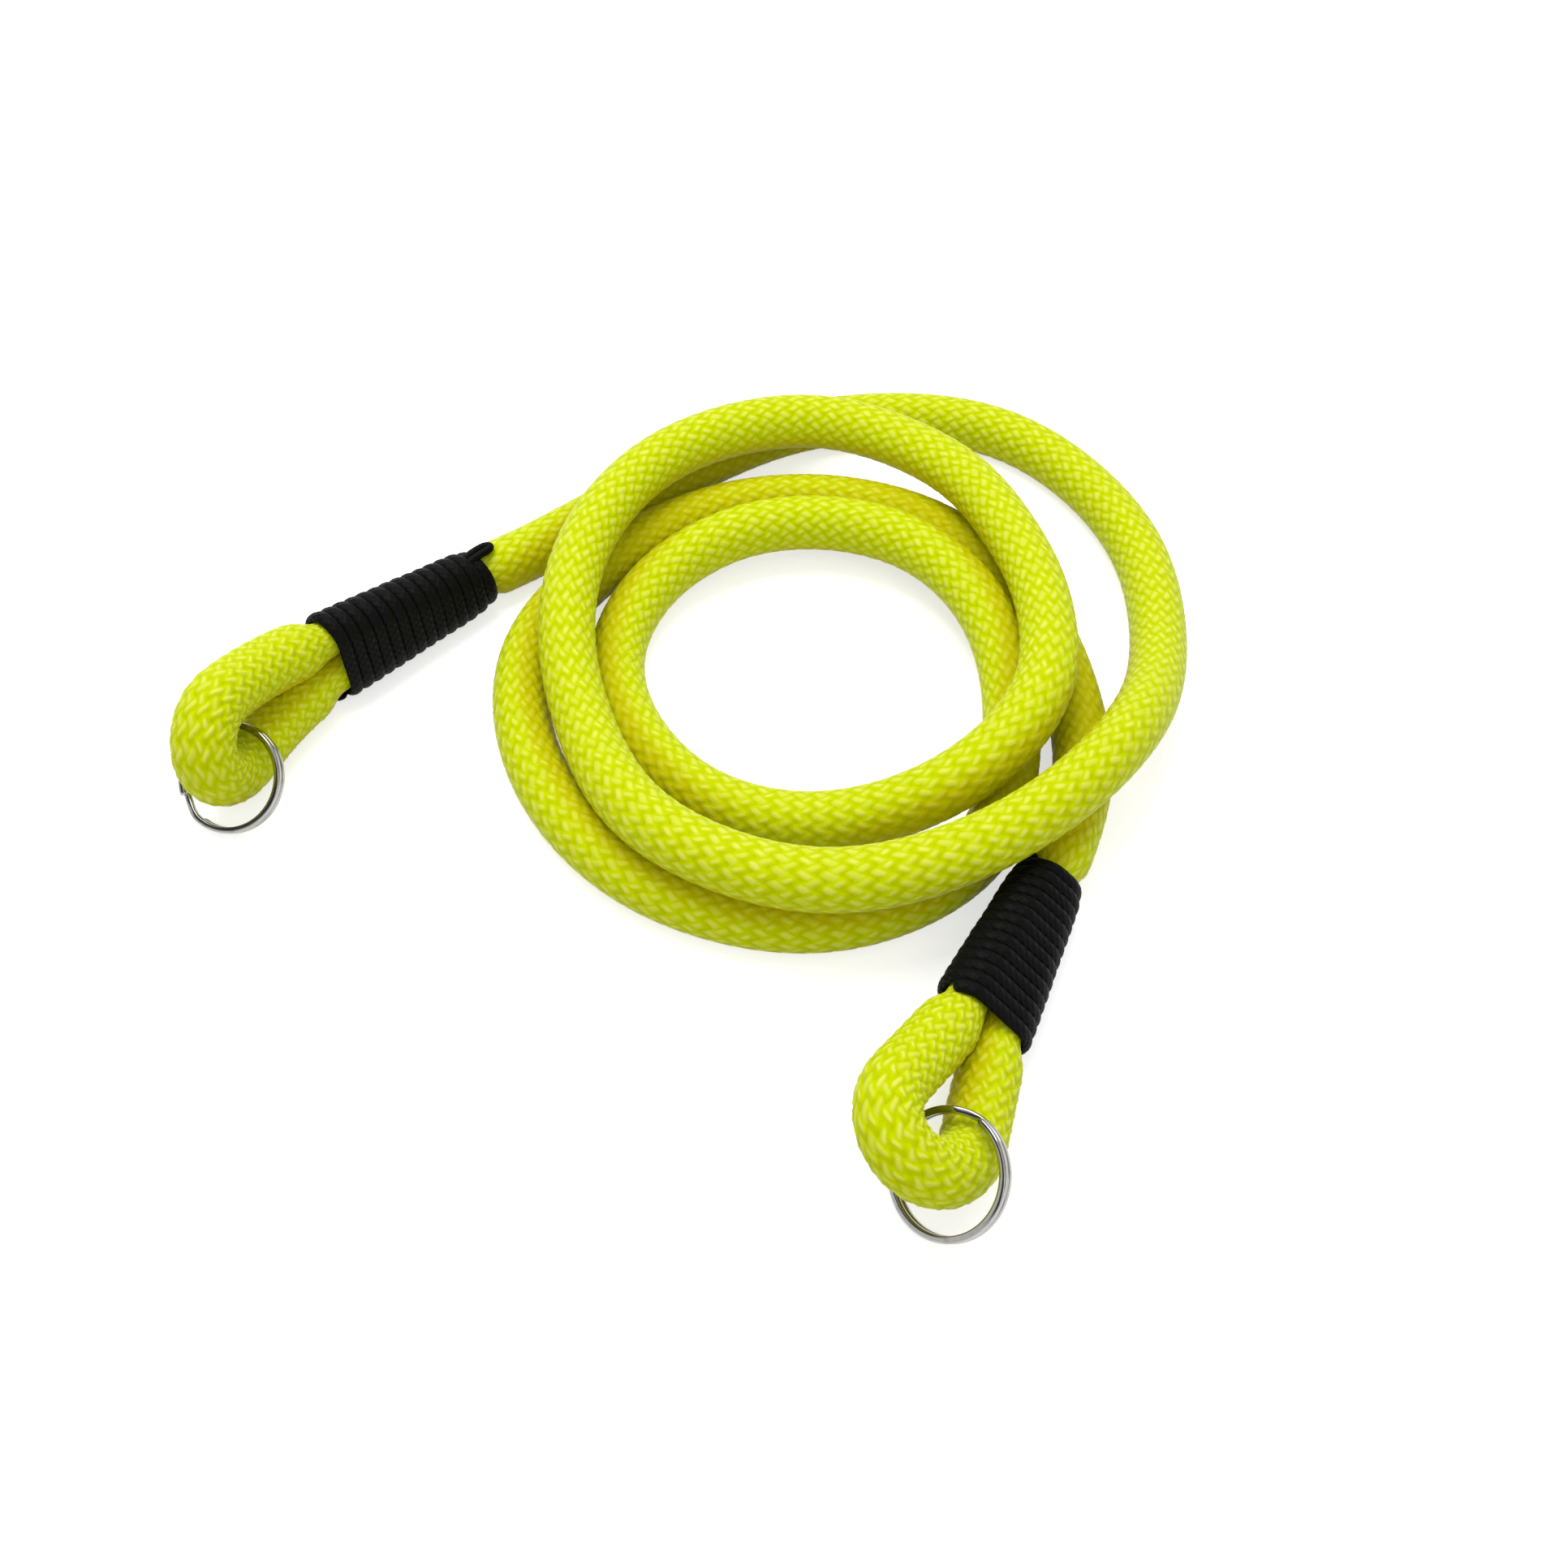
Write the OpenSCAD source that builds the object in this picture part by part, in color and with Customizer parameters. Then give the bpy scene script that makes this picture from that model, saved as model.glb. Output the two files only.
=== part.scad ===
// Rope strap with two bound eyes, laid down in loose loops.
// One length of sheath-and-core climbing rope. Each end is folded back into an
// eye, the fold is bound with waxed cord, and a split ring hangs in the eye.
// Millimetres, +Z up, the strap rests on z = 0. The origin is the middle of the
// footprint. The eyes lie towards -X and -Y.

/* [Rope] */
// Diameter of the rope over its woven sheath
rope_d = 10.8; // [10.6:0.1:10.9]
// Diameter of the core inside the sheath
core_d = 7.2; // [6.6:0.1:7.6]
// How deep the rope's underside is pressed flat where it rests
rest_flat = 1.1; // [0.9:0.1:1.3]

/* [Bindings] */
// Turns of cord round each folded end
bind_turns = 14; // [12:1:14]
// Width of the cord, measured along the rope
cord_w = 1.9; // [1.7:0.1:1.9]
// Thickness of the cord, measured out from the rope
cord_t = 1.5; // [1.3:0.1:1.6]
// Diameter of the rope where the cord squeezes it
bound_d = 7.8; // [7.6:0.1:7.9]
// Bound length at the left eye
left_bind = 38.5; // [37:0.5:39]
// Bound length at the right eye
right_bind = 35; // [34.5:0.5:36]

/* [Split rings] */
// Outside diameter of each split ring
ring_od = 20; // [19.8:0.1:20.2]
// Width of the ring's wire, measured across the ring
wire_w = 1.2; // [1.1:0.05:1.3]
// Thickness of one turn of the wire
wire_t = 1.0; // [0.9:0.05:1.05]

/* [Hidden] */

rope_sides = 10;

rope_r = rope_d / 2;
bound_r = bound_d / 2;
sheath_wall = (rope_d - core_d) / 2;
core_slip = 0.05;               // room between the core and the sheath's bore
leg_gap = 0.02;                 // room between the two legs of an eye
floor_z = rope_r - rest_flat;   // height of the rope's middle where it rests

// The rope's way round the coil, clockwise from above, one station every 30
// degrees, twelve to a turn: distance from the coil's middle, then height.
lay_start = 150;
lay_step = -30;
lay_r = [
    64, 61, 71.5, 80, 74, 65, 61, 60, 62, 57.5, 49, 48,
    51, 57, 61, 52.5, 43.5, 42, 44.5, 44.5, 41, 41, 39.5, 39.5,
    38, 35.5, 34.5, 33.5, 32.5, 34.5, 40.5, 55, 62, 62, 59.5, 57,
    50.5, 47.5, 45.5, 44.5, 43.5, 46, 55
];
lay_z = [
    0, 0, 0, 0, 0, 2, 11.8, 12.3, 12, 11, 7, 10.5,
    12, 11.5, 9.5, 10.5, 12, 12.5, 12.5, 9, 0.5, 0, 0, 0,
    1.5, 4, 4, 4.5, 5, 3.5, 0.5, 0, 0, 0, 0, 0,
    0, 0, 0, 0, 0, 0, 0
];

// Narrow end of each binding, where it points, and how steeply it climbs
left_start = [-67, 21, 6.3];
left_heading = -134;
left_climb = 0.1;
right_start = [39, -52, 6];
right_heading = -116;
right_climb = 0.06;

// Each eye: radius of the bend, angle at which each leg opens, tilt of the loop
// about its own length, sideways bend and lift of its tip
left_eye = [7.8, 10, 78, -9.5, 1.2];
right_eye = [8.4, 13.5, 36, 0, 3.4];

// Each split ring: middle, compass direction it faces and how far it faces up
left_ring_at = [-105.5, -32.1, 7.3];
left_ring_faces = [-110, 52];
left_ring_turned = -38;
right_ring_at = [17.4, -108, 7.5];
right_ring_faces = [-151, 49];
right_ring_turned = 213;

// From the coil's middle to the middle of the whole footprint
to_origin = [21.75, 19.5, 0];

// ---- small maths ----
function unit(v) = v / norm(v);
function ease(x) = let (c = max(0, min(1, x))) c * c * (3 - 2 * c);
function mix(a, b, x) = a + (b - a) * x;

// Smooth curve through four points, x from 0 to 1 between p1 and p2
function through(p0, p1, p2, p3, x) =
    p1 + x / 2 * ((p2 - p0) + x * ((2 * p0 - 5 * p1 + 4 * p2 - p3)
    + x * (3 * (p1 - p2) + p3 - p0)));

// Curve through a list of points, n steps between points; the first and the
// last point only set the direction of the two ends
function smooth(pts, n) = concat(
    [for (i = [1 : len(pts) - 3], k = [0 : n - 1])
        through(pts[i - 1], pts[i], pts[i + 1], pts[i + 2], k / n)],
    [pts[len(pts) - 2]]);

// Direction of a line of points at point i
function way(line, i) =
    unit(line[min(i + 1, len(line) - 1)] - line[max(i - 1, 0)]);

// Side vectors carried along a line without twist
function carried(line, first) = [
    for (i = 0, s = first; i < len(line);
        i = i + 1,
        s = i < len(line) ? let (t = way(line, i)) unit(s - (s * t) * t) : s)
    let (t = way(line, i)) unit(s - (s * t) * t)];

// ---- tubes ----
// Rings of a round tube: a middle, a side vector and a radius for each ring,
// pressed flat where they would pass below z = 0
function tube_rings(line, sides, radii, n) = [
    for (i = [0 : len(radii) - 1])
    let (s = sides[i], u = cross(way(line, i), s))
    [for (k = [0 : n - 1])
        let (a = 360 * k / n,
            p = line[i] + radii[i] * (cos(a) * s + sin(a) * u))
        [p.x, p.y, max(0, p.z)]]];

// Triangles between rings of n points, the first ring starting at point `at`
function skin(count, n, at, outward) = [
    for (i = [0 : count - 2], k = [0 : n - 1])
    let (a = at + i * n + k, b = at + i * n + (k + 1) % n, c = a + n, d = b + n)
    each outward ? [[a, d, b], [a, c, d]] : [[a, b, d], [a, d, c]]];

// Flat end over a ring of n points
function lid(n, at, forward) = [
    for (k = [1 : n - 2])
        forward ? [at, at + k + 1, at + k] : [at, at + k, at + k + 1]];

// End of a wall: an outer ring of n points round an inner ring of n / 2 points
function rim(n, outer, inner, forward) = [
    for (k = [0 : n / 2 - 1])
    let (a = outer + 2 * k, b = a + 1, c = outer + (2 * k + 2) % n,
        p = inner + k, q = inner + (k + 1) % (n / 2))
    each forward ? [[a, p, b], [b, p, q], [b, q, c]] : [[a, b, p], [b, q, p], [b, c, q]]];

module solid_tube(line, sides, radii, n) {
    count = len(radii);
    polyhedron([for (r = tube_rings(line, sides, radii, n)) each r],
        concat(skin(count, n, 0, true), lid(n, 0, false),
            lid(n, (count - 1) * n, true)));
}

// A tube with a bore of half as many sides. The list of bore radii may be
// shorter than that of the outside: past its end the tube is solid.
module bored_tube(line, sides, radii, bores, n) {
    count = len(radii);
    deep = len(bores);
    first = count * n;
    outer_end = (count - 1) * n;
    bore_end = first + (deep - 1) * n / 2;
    polyhedron(
        concat([for (r = tube_rings(line, sides, radii, n)) each r],
            [for (r = tube_rings(line, sides, bores, n / 2)) each r]),
        concat(skin(count, n, 0, true), skin(deep, n / 2, first, false),
            rim(n, 0, first, false),
            deep == count ? rim(n, outer_end, bore_end, true)
                : concat(lid(n, outer_end, true), lid(n / 2, bore_end, false))));
}

// ---- the coil ----
function station(i) = let (a = lay_start + lay_step * i)
    [lay_r[i] * cos(a), lay_r[i] * sin(a), floor_z + lay_z[i]];

// Frame of an end: forward along the binding, level to its right, and up
function ahead(heading, climb) = unit([cos(heading), sin(heading), climb]);
function right_of(heading) = [sin(heading), -cos(heading), 0];
function above(heading, climb) = cross(right_of(heading), ahead(heading, climb));

neck = 5;       // length over which the rope narrows into a binding
neck_rings = 3;
lead = 10;      // how far inside the binding the point lies that aims the rope
left_ahead = ahead(left_heading, left_climb);
right_ahead = ahead(right_heading, right_climb);
stations = [for (i = [0 : len(lay_r) - 1]) station(i)];
// The coil's way, with n rings from one station to the next
function coil_way(n) = smooth(concat(
    [left_start + left_ahead * lead, left_start - left_ahead * neck], stations,
    [right_start - right_ahead * neck, right_start + right_ahead * lead]), n);
coil_line = concat(
    [for (k = [0 : neck_rings - 1]) left_start - left_ahead * neck * k / neck_rings],
    coil_way(2),
    [for (k = [neck_rings - 1 : -1 : 0])
        right_start - right_ahead * neck * k / neck_rings]);
coil_sides = carried(coil_line, [0, 0, 1]);
coil_n = len(coil_line);
coil_radii = [for (i = [0 : coil_n - 1])
    mix(bound_r, rope_r, ease(min(i, coil_n - 1 - i) / neck_rings))];
function thinner(radii, cut) = [for (r = radii) r - cut];

module rope_sheath() color([0.80, 0.90, 0.10]) translate(to_origin)
    bored_tube(coil_line, coil_sides, coil_radii,
        thinner(coil_radii, sheath_wall - core_slip), rope_sides);

module rope_core() color([0.93, 0.93, 0.88]) translate(to_origin)
    solid_tube(coil_line, coil_sides, thinner(coil_radii, sheath_wall), rope_sides / 2);

// ---- the eyes ----
// Inside a binding the tail thins out towards the narrow end: its radius, and
// how far the standing leg gives way to it, at distance s from the narrow end
tail_start = 6;
tail_tip_r = 1.4;
function tail_r(s, bind) =
    mix(tail_tip_r, bound_r, max(0, s - tail_start) / (bind - tail_start));
function give(s, bind) = tail_r(s, bind) * ease(s / tail_start);

// Distance from the binding to the middle of the bend, so that straight legs
// meet it without a kink
function bend_at(eye) =
    eye[0] * sin(eye[1]) + (eye[0] * cos(eye[1]) - bound_r) / tan(eye[1]);

// Flat outline of an eye as [distance along, distance across, radius]: up the
// standing leg, round the bend and down the tail
leg_rings = 4;
bend_rings = 12;
solid_rings = 3;    // at the tip of the tail, where no core is left
function bound_stations(bind) = concat([0],
    [for (k = [0 : leg_rings - 1]) mix(tail_start, bind, k / leg_rings)]);
function standing_leg(bind) =
    [for (s = bound_stations(bind)) [s, -give(s, bind), bound_r]];
function free_leg(bind, eye, side) =
    let (sweep = 90 + eye[1],
        s1 = bind + bend_at(eye) + eye[0] * cos(sweep), q1 = eye[0] * sin(sweep))
    [for (k = [0 : leg_rings - 1])
        let (x = k / leg_rings, q = mix(bound_r, q1, x))
        [mix(bind, s1, x), side * q, min(rope_r, q - leg_gap)]];
function bend(bind, eye) = let (sweep = 90 + eye[1])
    [for (k = [0 : bend_rings])
        let (a = mix(-sweep, sweep, k / bend_rings))
        [bind + bend_at(eye) + eye[0] * cos(a), eye[0] * sin(a), rope_r]];
function tail_leg(bind) = [for (k = [1 : leg_rings])
    let (s = mix(bind, tail_start, k / leg_rings)) [s, bound_r, tail_r(s, bind)]];
function backwards(list) = [for (i = [len(list) - 1 : -1 : 0]) list[i]];
function eye_outline(bind, eye) = concat(standing_leg(bind), free_leg(bind, eye, -1),
    bend(bind, eye), backwards(free_leg(bind, eye, 1)), tail_leg(bind));

// The outline placed in space
function eye_line(start, heading, climb, bind, eye) =
    let (f = ahead(heading, climb), r = right_of(heading), u = above(heading, climb),
        across = cos(eye[2]) * r + sin(eye[2]) * u,
        reach = bend_at(eye) + eye[0])
    [for (p = eye_outline(bind, eye))
        let (d = max(0, (p[0] - bind) / reach))
        start + p[0] * f + p[1] * across + d * d * (eye[3] * r + [0, 0, eye[4]])];
function eye_radii(bind, eye) = [for (p = eye_outline(bind, eye)) p[2]];

module eye_sheath(line, radii) {
    sides = carried(line, [0, 0, 1]);
    cored = len(radii) - solid_rings;
    bored_tube(line, sides, radii,
        [for (i = [0 : cored - 1]) radii[i] - sheath_wall + core_slip], rope_sides);
}
module eye_core(line, radii) {
    sides = carried(line, [0, 0, 1]);
    cored = len(radii) - solid_rings;
    solid_tube(line, sides, [for (i = [0 : cored - 1]) radii[i] - sheath_wall],
        rope_sides / 2);
}

left_eye_line = eye_line(left_start, left_heading, left_climb, left_bind, left_eye);
right_eye_line = eye_line(right_start, right_heading, right_climb, right_bind, right_eye);

module left_eye_sheath() color([0.80, 0.90, 0.10]) translate(to_origin)
    eye_sheath(left_eye_line, eye_radii(left_bind, left_eye));
module left_eye_core() color([0.93, 0.93, 0.88]) translate(to_origin)
    eye_core(left_eye_line, eye_radii(left_bind, left_eye));
module right_eye_sheath() color([0.80, 0.90, 0.10]) translate(to_origin)
    eye_sheath(right_eye_line, eye_radii(right_bind, right_eye));
module right_eye_core() color([0.93, 0.93, 0.88]) translate(to_origin)
    eye_core(right_eye_line, eye_radii(right_bind, right_eye));

// ---- the bindings ----
// One unbroken cord wound along the pair of legs, from the wide end to the narrow
// end. A turn follows two half circles joined by straights, and the straights
// shorten as the tail thins out. The cord sets off at an angle about the legs and
// its ends run straight on for one cord width.
turn_rings = 12;
bind_clear = 0.08;      // room between the cord and the rope
cord_sides = 6;
left_cord_from = 200;
right_cord_from = 338;
function bind_line(start, heading, climb, bind, eye, cord_from) =
    let (f = ahead(heading, climb), r = right_of(heading), u = above(heading, climb),
        across = cos(eye[2]) * r + sin(eye[2]) * u, deep = cross(f, across),
        steps = bind_turns * turn_rings,
        out = bound_r + cord_t / 2 + bind_clear,
        wound = [for (k = [0 : steps])
            let (s = mix(bind - cord_w / 2, cord_w / 2, k / steps),
                a = cord_from - 360 * (k + 0.5) / turn_rings)
            start + s * f + out * sin(a) * deep
                + (out * cos(a) + give(s, bind) * sign(cos(a))) * across])
    concat([wound[0] - cord_w * unit(wound[1] - wound[0])], wound,
        [wound[steps] + cord_w * unit(wound[steps] - wound[steps - 1])]);

// The cord has six sides: flat where it lies, cord_w wide and cord_t thick
module cord(line, heading, climb) {
    f = ahead(heading, climb);
    n = cord_sides;
    polyhedron([for (i = [0 : len(line) - 1])
            let (t = way(line, i), w = unit(f - (f * t) * t), o = cross(w, t))
            each [for (k = [0 : n - 1]) let (a = 360 * k / n)
                line[i] + cord_w / 2 * cos(a) * w + cord_t / sqrt(3) * sin(a) * o]],
        concat(skin(len(line), n, 0, true), lid(n, 0, false),
            lid(n, (len(line) - 1) * n, true)));
}

left_cord = bind_line(left_start, left_heading, left_climb, left_bind, left_eye,
    left_cord_from);
right_cord = bind_line(right_start, right_heading, right_climb, right_bind, right_eye,
    right_cord_from);

module left_binding() color([0.07, 0.07, 0.08]) translate(to_origin)
    cord(left_cord, left_heading, left_climb);
module right_binding() color([0.07, 0.07, 0.08]) translate(to_origin)
    cord(right_cord, right_heading, right_climb);

// ---- the split rings ----
// Spring wire wound twice round. Each turn is flat, the wire steps from one turn
// to the other in a short stretch, and both ends stop just short of that step.
turn_gap = 0.45;
step_half = 12;     // half the angle that the step takes
step_facet = 4;     // angle from one section of the wire to the next in the step
ring_facet = 12;    // and round the rest
end_stop = 16;      // angle from the middle of the step to each end of the wire
wire_sides = 8;
ring_mid_r = (ring_od - wire_w) / 2;
layer_gap = wire_t + turn_gap;
function ring_level(a) = layer_gap * (ease((a - 360 + step_half) / (2 * step_half)) - 0.5);
ring_way = concat([end_stop],
    [for (a = [2 * step_half : ring_facet : 360 - 2 * step_half]) a],
    [for (a = [360 - step_half : step_facet : 360 + step_half]) a],
    [for (a = [360 + 2 * step_half : ring_facet : 720 - 2 * step_half]) a],
    [720 - end_stop]);

module split_ring() {
    n = wire_sides;
    turn = 360 / n;
    w = wire_w / 2 / cos(turn / 2);
    h = wire_t / 2 / cos(turn / 2);
    polyhedron([for (a = ring_way)
            each [for (k = [0 : n - 1])
                let (b = turn * (k + 0.5), r = ring_mid_r + w * cos(b))
                [r * cos(a), r * sin(a), ring_level(a) + h * sin(b)]]],
        concat(skin(len(ring_way), n, 0, false), lid(n, 0, true),
            lid(n, (len(ring_way) - 1) * n, false)));
}

// Lay a ring down so that it faces a compass direction and a height above level
module facing(at, faces, turned) {
    translate(at) rotate([0, 90 - faces[1], faces[0]]) rotate([0, 0, turned]) children();
}

module left_split_ring() color([0.78, 0.78, 0.80]) translate(to_origin)
    facing(left_ring_at, left_ring_faces, left_ring_turned) split_ring();
module right_split_ring() color([0.78, 0.78, 0.80]) translate(to_origin)
    facing(right_ring_at, right_ring_faces, right_ring_turned) split_ring();

// Least gap of a line to itself, taken between points at least `apart` points on
function self_gap(line, apart, width) =
    min([for (i = [0 : len(line) - 1 - apart])
        min([for (j = [i + apart : len(line) - 1]) norm(line[i] - line[j])])]) - width;
half_turn = 180 / abs(lay_step);    // in stations
fine = 8;                           // points to a station
echo(coil_gap = self_gap(coil_way(fine), fine * half_turn, rope_d));
echo(left_cord_gap = self_gap(left_cord, turn_rings, cord_w));
echo(right_cord_gap = self_gap(right_cord, turn_rings, cord_w));

rope_sheath();
rope_core();
left_eye_sheath();
left_eye_core();
right_eye_sheath();
right_eye_core();
left_binding();
right_binding();
left_split_ring();
right_split_ring();
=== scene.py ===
"""Rope strap with two bound eyes and split rings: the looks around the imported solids.

Every piece is a surface worked out on a grid of two numbers. The rope's route, its
eyes and its bindings repeat the points and formulas of the solids, in metres.
"""

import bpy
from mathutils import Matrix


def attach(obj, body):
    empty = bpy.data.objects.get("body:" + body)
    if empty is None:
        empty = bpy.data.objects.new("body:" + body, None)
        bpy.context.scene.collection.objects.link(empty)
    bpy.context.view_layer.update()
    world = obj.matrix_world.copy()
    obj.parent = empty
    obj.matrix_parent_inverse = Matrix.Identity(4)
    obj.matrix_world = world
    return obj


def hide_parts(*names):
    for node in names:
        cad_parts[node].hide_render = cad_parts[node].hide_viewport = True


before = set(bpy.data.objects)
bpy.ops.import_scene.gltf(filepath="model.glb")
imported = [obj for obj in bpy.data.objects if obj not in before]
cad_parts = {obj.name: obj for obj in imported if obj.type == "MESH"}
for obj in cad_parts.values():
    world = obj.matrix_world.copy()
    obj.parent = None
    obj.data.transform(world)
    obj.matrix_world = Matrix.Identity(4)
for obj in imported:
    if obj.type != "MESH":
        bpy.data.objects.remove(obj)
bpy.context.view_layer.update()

import math

import bpy
import numpy as np

bl_info = {
    "name": "Bound rope strap",
    "version": (1, 0, 0),
    "blender": (4, 5, 0),
    "location": "View3D > Sidebar > Strap",
    "description": "Braided rope strap with bound eyes and split rings",
    "category": "Object",
}

MM = 0.001
ORIGIN = np.array([21.75, 19.5, 0.0])       # from the coil's middle, as in the solids

# ---- the route, in millimetres from the coil's middle ----
LAY_START, LAY_STEP = 150.0, -30.0
LAY_R = [
    64, 61, 71.5, 80, 74, 65, 61, 60, 62, 57.5, 49, 48,
    51, 57, 61, 52.5, 43.5, 42, 44.5, 44.5, 41, 41, 39.5, 39.5,
    38, 35.5, 34.5, 33.5, 32.5, 34.5, 40.5, 55, 62, 62, 59.5, 57,
    50.5, 47.5, 45.5, 44.5, 43.5, 46, 55,
]
LAY_Z = [
    0, 0, 0, 0, 0, 2, 11.8, 12.3, 12, 11, 7, 10.5,
    12, 11.5, 9.5, 10.5, 12, 12.5, 12.5, 9, 0.5, 0, 0, 0,
    1.5, 4, 4, 4.5, 5, 3.5, 0.5, 0, 0, 0, 0, 0,
    0, 0, 0, 0, 0, 0, 0,
]
FLOOR_Z = 4.3           # height of the rope's middle where it rests
BOUND_R = 3.9           # rope's radius where the cord squeezes it
PINCH = 0.15            # how much further the cord presses the sheath in
NECK, LEAD = 5.0, 10.0  # points outside and inside a binding that keep the coil's end straight
INSIDE = 2.0            # where the coil and the eyes meet, inside a binding
TAIL_START, TAIL_TIP_R = 6.0, 1.4   # where the tail's tip lies in a binding, and its radius

# Each end: where its binding starts and heads, the bound length, the eye (radius of the
# bend, how far its legs open in degrees, its tilt, how far it leans sideways and lifts),
# the ring's middle, the way it faces and how far it is turned, the angle that the cord
# starts from, the loosened rope's radius, and the hand of its braid.
ENDS = {
    "left": {
        "start": (-67, 21, 6.3), "heading": -134, "climb": 0.1, "bound": 38.5,
        "eye": (7.3, 8.8, 78, -9.5, 1.2),
        "ring": (-105.5, -32.1, 7.3), "faces": (-110, 52), "turned": -38,
        "cord_from": 200, "eye_r": 5.4, "hand": 1,
    },
    "right": {
        "start": (39, -52, 6), "heading": -116, "climb": 0.06, "bound": 35,
        "eye": (8.2, 12.8, 36, 0, 3.4),
        "ring": (17.4, -108, 7.5), "faces": (-151, 49), "turned": 213,
        "cord_from": 338, "eye_r": 5.2, "hand": -1,
    },
}


# ---- small maths, on whole arrays ----
def unit(v):
    """Vectors scaled to length one."""
    v = np.asarray(v, float)
    return v / np.linalg.norm(v, axis=-1, keepdims=True)


def ease(x):
    """Smooth step from 0 to 1: three x squared less two x cubed."""
    x = np.clip(x, 0, 1)
    return x * x * (3 - 2 * x)


def dot(a, b):
    """Dot product of rows, kept as a column."""
    return np.sum(a * b, axis=-1, keepdims=True)


def spline(points, steps):
    """Curve through points, each span a cubic set by its two neighbours on each side."""
    p = np.asarray(points, float)
    a, b, c, d = (p[i:len(p) - 3 + i, None] for i in range(4))
    x = (np.arange(steps) / steps)[None, :, None]
    out = b + x / 2 * ((c - a) + x * ((2 * a - 5 * b + 4 * c - d) + x * (3 * (b - c) + d - a)))
    return np.vstack([out.reshape(-1, 3), p[-2]])


def along(line):
    """Distance of each point from the start of a line."""
    steps = np.linalg.norm(np.diff(line, axis=0), axis=1)
    return np.concatenate([[0], np.cumsum(steps)])


def at(line, dist, where):
    """Columns of `line`, given at distances `dist`, read at distances `where`."""
    where = np.asarray(where)
    columns = [np.interp(where.ravel(), dist, line[:, k]) for k in range(line.shape[1])]
    return np.stack(columns, -1).reshape(where.shape + (line.shape[1],))


def softened(line, width):
    """A line evened out by a running mean of `width` points, its ends kept."""
    pad = np.vstack([np.repeat(line[:1], width, 0), line, np.repeat(line[-1:], width, 0)])
    kernel = np.hanning(2 * width + 1)[1:-1]
    kernel /= kernel.sum()
    out = np.stack([np.convolve(pad[:, k], kernel, "same") for k in range(line.shape[1])], 1)
    out = out[width:-width]
    fade = ease(np.minimum(np.arange(len(line)), np.arange(len(line))[::-1]) / width)[:, None]
    return line * (1 - fade) + out * fade


def frames(line, up):
    """Direction of a line at each point, and a side and a top square to it; `up` is the
    vector that the top keeps as close to as it can."""
    ahead = unit(np.gradient(line, axis=0))
    side = unit(np.cross(up, ahead))
    return ahead, side, np.cross(ahead, side)


# ---- meshes ----
def outward(points, faces):
    """True where the faces' normals point away from what they enclose: the sum of each
    face's signed volume is positive."""
    a, b, c = (points[faces[:, k]] for k in (0, 1, 2))
    total = np.sum(np.cross(a, b) * c)
    if faces.shape[1] == 4:
        d = points[faces[:, 3]]
        total += np.sum(np.cross(a, c) * d)
    return total > 0


def new_mesh(name, points, groups, lattice=None, values=None):
    """One mesh object from points and several arrays of faces of three or four corners.
    `lattice` holds a pair of numbers for each corner, in the same order, and `values` a
    number for each point under its name."""
    mesh = bpy.data.meshes.new(name)
    corners = np.concatenate([g.ravel() for g in groups])
    totals = np.concatenate([np.full(len(g), g.shape[1]) for g in groups])
    mesh.vertices.add(len(points))
    mesh.vertices.foreach_set("co", np.asarray(points, np.float32).ravel())
    mesh.loops.add(len(corners))
    mesh.loops.foreach_set("vertex_index", corners.astype(np.int32))
    mesh.polygons.add(len(totals))
    starts = np.concatenate([[0], np.cumsum(totals)[:-1]])
    mesh.polygons.foreach_set("loop_start", starts.astype(np.int32))
    mesh.polygons.foreach_set("loop_total", totals.astype(np.int32))
    mesh.polygons.foreach_set("use_smooth", np.ones(len(totals), bool))
    if lattice is not None:
        layer = mesh.uv_layers.new(name="lattice")
        layer.data.foreach_set("uv", np.asarray(lattice, np.float32).ravel())
    for key, numbers in (values or {}).items():
        store = mesh.attributes.new(key, "FLOAT", "POINT")
        store.data.foreach_set("value", np.asarray(numbers, np.float32))
    mesh.validate()
    mesh.update()
    piece = bpy.data.objects.new(name, mesh)
    bpy.context.scene.collection.objects.link(piece)
    return piece


# ---- the braid ----
CUTS = {3: (0, 0.22, 0.78), 4: (0, 0.18, 0.5, 0.82)}    # where the grid cuts each yarn
WAVE = 0.5              # how far a yarn rises over its crossings, in units of relief
ROUND = 0.6             # drop from the middle of a yarn to its edge, in the same units
BULGE = 0.2             # how far a float's middle spreads over its neighbours, in yarns
# These three give the size and place of a painted highlight, the pale patch painted on each
# float.
PAINTED_HIGHLIGHT_LONG = (0.46, 0.36)    # half-length of the pale face of each family's floats, in yarns
PAINTED_HIGHLIGHT_WIDE = (0.42, 0.36)    # half-width of it
PAINTED_HIGHLIGHT_SIDE = (0.58, 0.60)    # where its middle lies across a float, from 0 to 1


def pillow(u, v):
    """Height of a plain braid. The yarns of one family lie between whole numbers of u, those
    of the other between whole numbers of v. Each rises and falls as a cosine along its
    length, over the other where i + j is even, and falls as a square towards its edges.
    Whichever family is higher shows."""
    best = np.full(np.broadcast(u, v).shape, -2.0)
    for du in (-1e-3, 1e-3):
        for dv in (-1e-3, 1e-3):
            uu, vv = u + du, v + dv
            i, j = np.floor(uu), np.floor(vv)
            for across, wave in ((uu - i, np.cos(np.pi * (vv - 0.5 - i))),
                                 (vv - j, -np.cos(np.pi * (uu - 0.5 - j)))):
                best = np.maximum(best, WAVE * wave - ROUND * (2 * across - 1) ** 2)
    return best


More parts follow.
